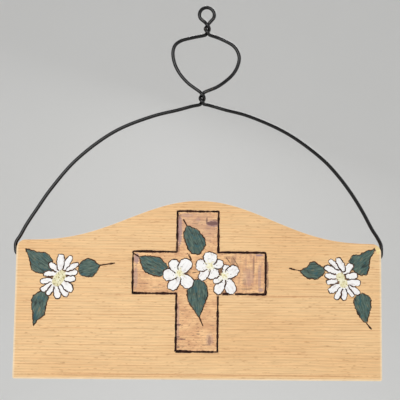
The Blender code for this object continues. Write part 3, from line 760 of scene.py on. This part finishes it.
def leaf(plan, roundings, wobble):
    """A pointed leaf whose corners are cut so many times; its base and its tip stay sharp."""
    base = Vector(plan["base"])
    tip = Vector(plan["tip"])
    outline = [base]
    for edge, end in ((plan["out"], tip), (plan["back"], base)):
        points = [outline[-1]] + [Vector(point) for point in edge] + [end]
        for turn in range(roundings):
            cut = [points[0]]
            for start, stop in zip(points, points[1:]):
                cut += [start.lerp(stop, 0.2), start.lerp(stop, 0.8)]
            points = cut + [points[-1]]
        outline += points[1:]
    return {"outline": roughen(outline[:-1], wobble), "start": base,
            "direction": (tip - base).normalized(), "kind": "leaf"}


def cross_corners():
    """The twelve corners of the cross."""
    half = CROSS_BAR / 2
    low = CROSS_ARM_HEIGHT - half
    high = CROSS_ARM_HEIGHT + half
    left = CROSS_X - half
    right = CROSS_X + half
    top = CROSS_ARM_HEIGHT + CROSS_REACH_UP
    bottom = CROSS_ARM_HEIGHT - CROSS_REACH_DOWN
    far_left = CROSS_X - CROSS_REACH_LEFT
    far_right = CROSS_X + CROSS_REACH_RIGHT
    corners = [(left, bottom), (right, bottom), (right, low), (far_right, low), (far_right, high),
               (right, high), (right, top), (left, top), (left, high), (far_left, high),
               (far_left, low), (left, low)]
    return [Vector(corner) for corner in corners]


def inside(point, outline):
    """Whether a point lies in a closed outline."""
    crossings = False
    for start, end in zip(outline, outline[1:] + outline[:1]):
        if (start.y > point.y) != (end.y > point.y):
            share = (point.y - start.y) / (end.y - start.y)
            if point.x < start.x + share * (end.x - start.x):
                crossings = not crossings
    return crossings


def near_line(point, outline, gap):
    """Whether a point lies within a gap of a closed outline's line."""
    for start, end in zip(outline, outline[1:] + outline[:1]):
        share = intersect_point_line(point, start, end)[1]
        foot = start.lerp(end, min(max(share, 0.0), 1.0))
        if (point - foot).length < gap:
            return True
    return False


def covered(point, covers, gap):
    """Whether a covering shape, given as (middle, reach, outline), hides a point or comes near it."""
    for middle, reach, outline in covers:
        if (point - middle).length > reach + gap:
            continue
        if inside(point, outline) or near_line(point, outline, gap):
            return True
    return False


def cover(outline):
    """A closed outline with its middle and its reach, so that far points are told apart quickly."""
    middle = sum(outline, Vector((0.0, 0.0))) / len(outline)
    return middle, max((point - middle).length for point in outline), outline


def open_runs(line, covers, gap, step):
    """The stretches of a line that no covering shape hides, as points a step apart."""
    runs = [[]]
    for start, end in zip(line, line[1:]):
        count = max(1, math.ceil((end - start).length / step))
        for index in range(count):
            point = start.lerp(end, index / count)
            hidden = covered(point, covers, gap)
            if hidden and runs[-1]:
                runs.append([])
            elif not hidden:
                runs[-1].append(point)
    if runs[-1]:
        runs[-1].append(line[-1].copy())
    return [run for run in runs if len(run) > 2 and len(run) * step > 2.0 * gap]


def burned_lines(shapes):
    """Every burned line, as (points, width, mesh slot), in the order in which the shapes overlap."""
    gap = LINE_OVERLAP
    lines = []
    covers = []
    for item in shapes:
        outline = item["outline"]
        if item["kind"] in ("petal", "leaf"):
            for run in open_runs(outline + outline[:1], covers, gap, FLOWER_LINE_STEP):
                lines.append((run, FLOWER_LINE_WIDTH, BURN))
        covers.append(cover(outline))
    for plan in CROSS_LEAVES + CORNER_LEAVES:
        if plan["stem"]:
            stem = [Vector(plan["tip"]), Vector(plan["stem"])]
            lines.append((open_runs(stem, [], gap, FLOWER_LINE_STEP)[0], STEM_LINE_WIDTH, BURN))
    for start, end, width in EXTRA_STROKES:
        for run in open_runs([Vector(start), Vector(end)], covers, gap, STROKE_STEP):
            lines.append((run, width, BURN if width < 0.001 else CHAR))
    corners = cross_corners()
    for run in open_runs(corners + corners[:1], covers, gap, CROSS_LINE_STEP):
        lines.append((run, CROSS_LINE_WIDTH, CHAR))
    for start, end, width in HEAVY_LINES:
        run = open_runs([Vector(start), Vector(end)], [], gap, HEAVY_LINE_STEP)[0]
        lines.append((run, width, CHAR))
    return lines


def layered(lines):
    """Share lines out over layers in which none comes near another, so that each layer cuts cleanly."""
    layers = []
    for line in lines:
        points, width, slot = line
        low = [min(point[axis] for point in points) - 2.0 * width for axis in (0, 1)]
        high = [max(point[axis] for point in points) + 2.0 * width for axis in (0, 1)]
        for layer in layers:
            if all(high[0] < other_low[0] or low[0] > other_high[0] or high[1] < other_low[1]
                   or low[1] > other_high[1] for other, other_low, other_high in layer):
                layer.append((line, low, high))
                break
        else:
            layers.append([(line, low, high)])
    return [[line for line, low, high in layer] for layer in layers]


def groove_cutter(lines, materials):
    """Diamond-section bars, half sunk in the front, whose width wanders as a hand-held burner's does."""
    bm = bmesh.new()
    for width, slot in sorted({(line[1], line[2]) for line in lines}):
        curve = tube_path(width, 0)
        curve.twist_mode = "Z_UP"
        for points, line_width, line_slot in lines:
            if (line_width, line_slot) != (width, slot):
                continue
            closed = (points[0] - points[-1]).length < 1e-6
            if closed:
                points = points[:-1]
            spline = curve.splines.new("POLY")
            spline.points.add(len(points) - 1)
            spline.use_cyclic_u = closed
            for target, point in zip(spline.points, points):
                spot = Vector((point.x, point.y, width)) * 1000.0
                sideways = noise.noise_vector(spot * 0.35) * width * 0.13
                target.co = (point.x + sideways.x, point.y + sideways.y, width / 2, 1.0)
                swell = noise.noise(spot * 0.22) + 0.7 * noise.noise(spot * 0.9)
                target.radius = 1.0 + swell * (0.28 if slot == CHAR else 0.34)
        mesh = tube_mesh(curve)
        for polygon in mesh.polygons:
            polygon.material_index = slot
            polygon.use_smooth = False
        bm.from_mesh(mesh)
        bpy.data.meshes.remove(mesh)
    stand_up = Matrix.Translation(on_front(0.0, 0.0)) @ Matrix.Rotation(math.radians(90), 4, "X")
    bmesh.ops.remove_doubles(bm, verts=bm.verts, dist=1e-7)
    bmesh.ops.transform(bm, matrix=stand_up, verts=bm.verts)
    bmesh.ops.recalc_face_normals(bm, faces=bm.faces)
    return mesh_piece("groove_cutter", bm, materials)


def bore_cutter(bm, side):
    """The bore and its flared mouth in one side edge, as one turned shape."""
    face = BOARD_X + side * BOARD_WIDTH / 2
    mouth = BORE_RADIUS + COUNTERSINK_FLARE
    overrun = 0.002
    slope = COUNTERSINK_FLARE / COUNTERSINK_DEPTH
    profile = ((0.0, -BORE_DEPTH), (BORE_RADIUS, -BORE_DEPTH), (BORE_RADIUS, -COUNTERSINK_DEPTH),
               (mouth + slope * overrun, overrun), (0.0, overrun))
    centre = Vector((face, 0.0, -HOLE_DROP))
    verts = [bm.verts.new(centre + Vector((side * along, 0.0, radius))) for radius, along in profile]
    edges = [bm.edges.new(pair) for pair in zip(verts, verts[1:])]
    bmesh.ops.spin(bm, geom=verts + edges, cent=centre, axis=(1.0, 0.0, 0.0),
                   angle=2.0 * math.pi, steps=32, use_merge=True)
    bmesh.ops.remove_doubles(bm, verts=bm.verts, dist=1e-6)
    bmesh.ops.recalc_face_normals(bm, faces=bm.faces)
    for made in bm.faces:
        made.material_index = BORE


def cut_and_settle(target, cutters):
    """Cut closed shapes out of a mesh and keep only the result."""
    for cutter in cutters:
        modifier = target.modifiers.new(cutter.name, "BOOLEAN")
        modifier.operation = "DIFFERENCE"
        modifier.solver = "MANIFOLD"
        modifier.object = cutter
    bpy.context.view_layer.update()
    mesh = bpy.data.meshes.new_from_object(target.evaluated_get(bpy.context.evaluated_depsgraph_get()))
    target.modifiers.clear()
    target.data = mesh


def cedar_board(grooves, materials):
    """The sawn board with rounded arrises, its burned grooves and the bores for the wire's ends."""
    bm = bmesh.new()
    back = [bm.verts.new((BOARD_X + x, BOARD_THICKNESS / 2, BOARD_Z + z)) for x, z in board_outline()]
    face = bm.faces.new(back)
    sides = bmesh.ops.extrude_face_region(bm, geom=[face])
    front = [item for item in sides["geom"] if isinstance(item, bmesh.types.BMVert)]
    bmesh.ops.translate(bm, verts=front, vec=(0.0, -BOARD_THICKNESS, 0.0))
    bmesh.ops.recalc_face_normals(bm, faces=bm.faces)
    for side in bm.faces:
        if abs(side.normal.y) > 0.5:
            side.material_index = FACE if side.normal.y < 0.0 else BACK
        else:
            side.material_index = END if abs(side.normal.x) > 0.8 else SAWN
    for axis, start, count in ((0, BOARD_X - BOARD_WIDTH / 2, 24), (2, BOARD_Z, 12)):
        for step in range(1, count):
            place = Vector((0.0, 0.0, 0.0))
            place[axis] = start + step * GRID_STEP
            everything = bm.verts[:] + bm.edges[:] + bm.faces[:]
            bmesh.ops.bisect_plane(bm, geom=everything, plane_co=place,
                                   plane_no=Vector((axis == 0, 0.0, axis == 2)))
    rims = [edge for edge in bm.edges if abs(edge.verts[0].co.y - edge.verts[1].co.y) < 1e-6
            and edge.calc_face_angle(0.0) > 0.8]
    rounded = bmesh.ops.bevel(bm, geom=rims, offset=ARRIS, offset_type="OFFSET", affect="EDGES",
                              segments=3, profile=0.5, material=-1, clamp_overlap=True)
    for made in rounded["faces"]:
        made.material_index = ARRIS_WOOD
    centre = Vector((BOARD_X, 0.0, BOARD_Z + BOARD_HEIGHT / 2))
    for vert in {vert for made in rounded["faces"] for vert in made.verts}:
        if abs(vert.co.y) > BOARD_THICKNESS / 2 - 1e-6:
            wear = 0.00012 * (1.0 + noise.noise(vert.co * 140.0) + 0.6 * noise.noise(vert.co * 700.0))
            inward = centre - vert.co
            inward.y = 0.0
            vert.co += inward.normalized() * max(wear, 0.0)
    board = mesh_piece("cedar_board", bm, materials)
    bores = []
    for side in (-1, 1):
        bm = bmesh.new()
        bore_cutter(bm, side)
        bores.append(mesh_piece("bore_cutter", bm, materials))
    cut_and_settle(board, bores + grooves)
    for bore in bores:
        bpy.data.objects.remove(bore, do_unlink=True)
    board.data.shade_smooth()
    board.data.set_sharp_from_angle(angle=math.radians(12))
    return board


def paint_film(bm, item, height, sequence):
    """A thin crowned film of paint inside an outline, let into the wood a little so that it sits on it."""
    uv_layer = bm.loops.layers.uv.get("strokes") or bm.loops.layers.uv.new("strokes")
    outline = item["outline"]
    count = len(outline)
    middle = sum(outline, Vector((0.0, 0.0))) / count
    evened = [sum((outline[(index + step) % count] for step in range(-3, 4)), Vector((0.0, 0.0))) / 7
              for index in range(count)]
    sink = PAINT_SINK + 0.000003 * (sequence % 9)
    before = set(bm.faces)
    face = bm.faces.new([bm.verts.new(on_front(*point, -sink)) for point in outline])
    floor = list(face.verts)
    for share, top in ((0.96, 0.6 * height), (0.84, 0.9 * height), (0.60, height)):
        face = bmesh.ops.extrude_discrete_faces(bm, faces=[face])["faces"][0]
        for vert, point in zip(face.verts, evened):
            vert.co = on_front(*middle.lerp(point, share), top)
    bmesh.ops.poke(bm, faces=[face], center_mode="MEAN")
    bm.faces.new(floor[::-1])
    across = Vector((-item["direction"].y, item["direction"].x))
    for made in set(bm.faces) - before:
        made.smooth = True
        for loop in made.loops:
            spot = Vector((loop.vert.co.x - BOARD_X, loop.vert.co.z - BOARD_Z)) - item["start"]
            loop[uv_layer].uv = (spot.dot(item["direction"]), spot.dot(across) + 0.1 * sequence)


def paint_piece(name, shapes, height, finishes, grooves=()):
    """All the films of one colour, as one piece on the board, with the burned lines left clear."""
    bm = bmesh.new()
    for sequence, item in enumerate(shapes):
        paint_film(bm, item, height, sequence)
    bmesh.ops.recalc_face_normals(bm, faces=bm.faces)
    piece = mesh_piece(name, bm, finishes)
    cut_and_settle(piece, grooves)
    piece.data.shade_smooth()
    piece.data.set_sharp_from_angle(angle=math.radians(40))
    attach(piece, "plaque")
    return piece


def dabs(centre, count, near, far, length):
    """Short strokes of paint round a point, each running outwards."""
    made = []
    for index in range(count):
        angle = 2.0 * math.pi * (index + draw.uniform(-0.35, 0.35)) / count
        outwards = Vector((math.cos(angle), math.sin(angle)))
        start = draw.uniform(near, far) * outwards
        plan = (start, start + draw.uniform(0.7, 1.3) * length * outwards, DAB_WIDTH)
        made.append(petal(centre, plan, 0.2, "dab"))
    return made


def twist_points(axis_x, first_crossing, strand):
    """One strand of a twist, top to bottom; the left strand, -1, goes in front first."""
    points = []
    top = first_crossing + TWIST_PITCH / 4
    for step in range(1, 12):
        turn = 2.0 * math.pi * step / 12
        points.append((axis_x + strand * STRAND_OFFSET * math.cos(turn),
                       strand * STRAND_OFFSET * math.sin(turn),
                       top - TWIST_PITCH * step / 12))
    return points


def wire_strand(side):
    """One half of the wire's centre line, from the top of the eye to its end in the board."""
    eye_centre = WIRE_RADIUS - EYE_RADIUS
    upper = -EYE_TO_TWIST
    loop_top = upper - TWIST_PITCH / 2
    lower = loop_top - LOOP_HEIGHT
    arm_top = lower - TWIST_PITCH / 2
    face = BOARD_X + side * BOARD_WIDTH / 2
    run_x = face + side * (WIRE_RADIUS + SIDE_RUN_GAP)
    run_top = HOLE_BELOW_SHOULDER - LEAN_BELOW_SHOULDER - HOLE_DROP
    points = []
    for step in range(13):
        turn = math.radians(120.0) * step / 12
        points.append((side * EYE_RADIUS * math.sin(turn), 0.0, eye_centre + EYE_RADIUS * math.cos(turn)))
    points += twist_points(UPPER_TWIST_X, upper, side)
    for out, down in LOOP_LEFT if side < 0 else LOOP_RIGHT:
        middle = UPPER_TWIST_X + down * (LOWER_TWIST_X - UPPER_TWIST_X)
        points.append((middle + side * out * LOOP_HALF_WIDTH, 0.0, loop_top - down * LOOP_HEIGHT))
    points += twist_points(LOWER_TWIST_X, lower, side)
    for out, down in ARM_LEFT if side < 0 else ARM_RIGHT:
        points.append((LOWER_TWIST_X + out * (run_x - LOWER_TWIST_X), 0.0,
                       arm_top + down * (run_top - arm_top)))
    points.append((run_x, 0.0, run_top))
    for step in range(5):
        turn = math.radians(90.0) * step / 4
        points.append((run_x - side * BEND_RADIUS * (1.0 - math.cos(turn)), 0.0,
                       -HOLE_DROP + BEND_RADIUS * (1.0 - math.sin(turn))))
    points.append((face - side * WIRE_END_DEPTH, 0.0, -HOLE_DROP))
    return [Vector(point) for point in points]


def smooth_route(points, spacing):
    """Points about a spacing apart on a smooth curve through the given ones."""
    ends = [points[0] * 2 - points[1]] + points + [points[-1] * 2 - points[-2]]
    route = [points[0]]
    for before, start, end, after in zip(ends, ends[1:], ends[2:], ends[3:]):
        lengths = [math.sqrt((b - a).length) for a, b in ((before, start), (start, end), (end, after))]
        first = (end - start) / lengths[1]
        leave = ((start - before) / lengths[0] * lengths[1] + first * lengths[0]) / (lengths[0] + lengths[1])
        arrive = ((after - end) / lengths[2] * lengths[1] + first * lengths[2]) / (lengths[1] + lengths[2])
        count = max(1, round((end - start).length / spacing))
        for index in range(1, count + 1):
            share = index / count
            rest = 1.0 - share
            pull = lengths[1] * share * rest * (leave * rest - arrive * share)
            route.append(start * rest * rest * (1.0 + 2.0 * share)
                         + end * share * share * (3.0 - 2.0 * share) + pull)
    return route


def wire_hanger(finish):
    """The one-piece wire hanger, as a fine tube."""
    route = smooth_route(wire_strand(-1)[::-1] + wire_strand(1)[1:], 0.0012)
    curve = tube_path(WIRE_RADIUS, 4)
    spline = curve.splines.new("POLY")
    spline.points.add(len(route) - 1)
    for target, point in zip(spline.points, route):
        target.co = (*point, 1.0)
    bm = bmesh.new()
    bm.from_mesh(tube_mesh(curve))
    bmesh.ops.remove_doubles(bm, verts=bm.verts, dist=1e-7)
    bmesh.ops.recalc_face_normals(bm, faces=bm.faces)
    return mesh_piece("wire_hanger", bm, [finish], 50)


def studio():
    """A pale floor that curves up into a plain wall, well behind the plaque, and soft light."""
    finish, wire, shader = start_material("pale_floor", roughness=0.9)
    tint = wire.noise(wire.place(), 3.0, 2.0)
    wire.feed(shader.inputs["Base Color"], wire.blend(tint, srgb(232, 232, 230), srgb(236, 236, 235)))
    bm = bmesh.new()
    floor, wall, radius = -0.85, 1.6, 0.6
    near, top, side = -2.6, 2.4, 3.0
    profile = [(near, floor), (wall - radius, floor)]
    for step in range(1, 16):
        turn = math.radians(90.0) * step / 16
        profile.append((wall - radius + radius * math.sin(turn), floor + radius * (1.0 - math.cos(turn))))
    profile += [(wall, floor + radius), (wall, top)]
    verts = [bm.verts.new((-side, y, z)) for y, z in profile]
    edges = [bm.edges.new(pair) for pair in zip(verts, verts[1:])]
    swept = bmesh.ops.extrude_edge_only(bm, edges=edges)
    moved = [item for item in swept["geom"] if isinstance(item, bmesh.types.BMVert)]
    bmesh.ops.translate(bm, verts=moved, vec=(2.0 * side, 0.0, 0.0))
    mesh_piece("studio_sweep", bm, [finish], 60)
    world = bpy.data.worlds.new("studio_world")
    world.use_nodes = True
    world.node_tree.nodes["Background"].inputs["Color"].default_value = (1.0, 1.0, 1.0, 1.0)
    world.node_tree.nodes["Background"].inputs["Strength"].default_value = WORLD_STRENGTH
    bpy.context.scene.world = world
    for name, spot, size, power in LAMPS:
        lamp = bpy.data.lights.new(name, "AREA")
        lamp.size = size
        lamp.energy = power
        thing = new_object(name, lamp)
        thing.location = spot
        ahead = Vector(LAMP_TARGET) - Vector(spot)
        thing.rotation_euler = ahead.to_track_quat("-Z", "Y").to_euler()


def photo_camera():
    """The camera where the photograph was taken: a little to the left, looking slightly up."""
    level = math.cos(CAMERA_CLIMB)
    ahead = Vector((math.sin(CAMERA_TURN) * level, math.cos(CAMERA_TURN) * level, math.sin(CAMERA_CLIMB)))
    right = ahead.cross(Vector((0.0, 0.0, 1.0))).normalized()
    above = right.cross(ahead)
    across = right * math.cos(CAMERA_ROLL) + above * math.sin(CAMERA_ROLL)
    upright = above * math.cos(CAMERA_ROLL) - right * math.sin(CAMERA_ROLL)
    camera = new_object("camera", bpy.data.cameras.new("camera"))
    camera.data.lens = CAMERA_LENS
    camera.data.clip_start = 0.01
    turned = Matrix((across, upright, -ahead)).transposed().to_4x4()
    camera.matrix_world = Matrix.Translation(Vector(CAMERA_TARGET) - ahead * CAMERA_DISTANCE) @ turned
    bpy.context.scene.camera = camera


SEED = 4
noise.seed_set(SEED)
draw = random.Random(SEED)
GRAIN = cedar_grain_group()
STAIN = stain_group()
CROSS = cross_group()

bpy.context.scene.view_settings.view_transform = "Standard"
photo_camera()
studio()

flowers = [item for plan in BLOSSOMS for item in blossom(**plan)]
flowers += [item for plan in DAISIES for item in daisy(**plan)]
leaves = [leaf(plan, 2, HAND_WOBBLE) for plan in CROSS_LEAVES]
for plan in CORNER_LEAVES:
    leaves.append(leaf(plan, 1, HAND_WOBBLE if plan["tip"][0] < 0.0 else ROUGH_WOBBLE))

burned = charred("burned_line", (60, 38, 30), (108, 72, 50))
board_finishes = [
    cedar("cedar_face", (243, 203, 150), (238, 194, 140), (214, 160, 110), front=True),
    cedar("cedar_back", (240, 200, 150), (230, 184, 134), (208, 150, 102), roughness=0.68, bump=0.6),
    cedar("cedar_sawn_edge", (232, 186, 134), (222, 172, 120), (192, 134, 88), roughness=0.72, bump=0.8),
    cedar("cedar_end_grain", (220, 170, 118), (208, 156, 106), (168, 112, 72), roughness=0.78, bump=1.0),
    # The arris's pale colours are a painted highlight along the board's eased edges.
    cedar("cedar_arris_painted_highlight", (255, 236, 204), (252, 226, 188), (240, 204, 160), 0.5, roughness=0.6),
    charred("charred_groove", (36, 22, 20), (74, 44, 36)),
    burned,
    cedar("cedar_bore", (168, 116, 74), (140, 92, 58), (104, 66, 42), roughness=0.9, bump=1.0),
]
grooves = [groove_cutter(layer, board_finishes) for layer in layered(burned_lines(flowers + leaves))]
board = cedar_board(grooves, board_finishes)
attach(board, "plaque")
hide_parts("plaque_board")

white = brushed_paint("white_paint", (248, 246, 243), (254, 253, 252), (224, 217, 214), 0.5)
green = brushed_paint("green_paint", (52, 75, 69), (100, 123, 110), (26, 40, 38), 0.55, tips=(136, 116, 82),
                      accent=(40, 88, 94))
yellow = stippled_paint("yellow_paint", (230, 222, 176), (244, 239, 208), (168, 152, 98))
ochre = stippled_paint("ochre_paint", (245, 239, 198), (252, 249, 226), (212, 196, 134))
speck = stippled_paint("speck_paint", (84, 72, 50), (112, 98, 68), (56, 46, 36))
for groove in grooves:
    for polygon in groove.data.polygons:
        polygon.material_index = 1
petals = [item for item in flowers if item["kind"] == "petal"]
daisy_centres = [item for item in flowers if item["kind"] == "centre"]
blossom_centres = [item for item in flowers if item["kind"] == "boss"]
paint_piece("green_leaves", leaves, LEAF_FILM, [green, burned], grooves)
paint_piece("white_petals", petals, PETAL_FILM, [white, burned], grooves)
paint_piece("daisy_centres", daisy_centres, DAISY_CENTRE_FILM, [yellow, burned], grooves)
paint_piece("blossom_centres", blossom_centres, BLOSSOM_CENTRE_FILM, [ochre])
strokes = [item for plan in BLOSSOMS for item in dabs(plan["centre"], 17, 0.0006, 0.0026, 0.0026)]
paint_piece("stamens", strokes, STAMEN_FILM, [ochre])
specks = [item for plan in BLOSSOMS for item in dabs(plan["centre"], 13, 0.0038, 0.0054, 0.0008)]
paint_piece("stamen_tips", specks, SPECK_FILM, [speck])
for groove in grooves:
    bpy.data.objects.remove(groove, do_unlink=True)

hanger = wire_hanger(coated_wire())
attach(hanger, "hanger")
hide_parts("hanger_wire")
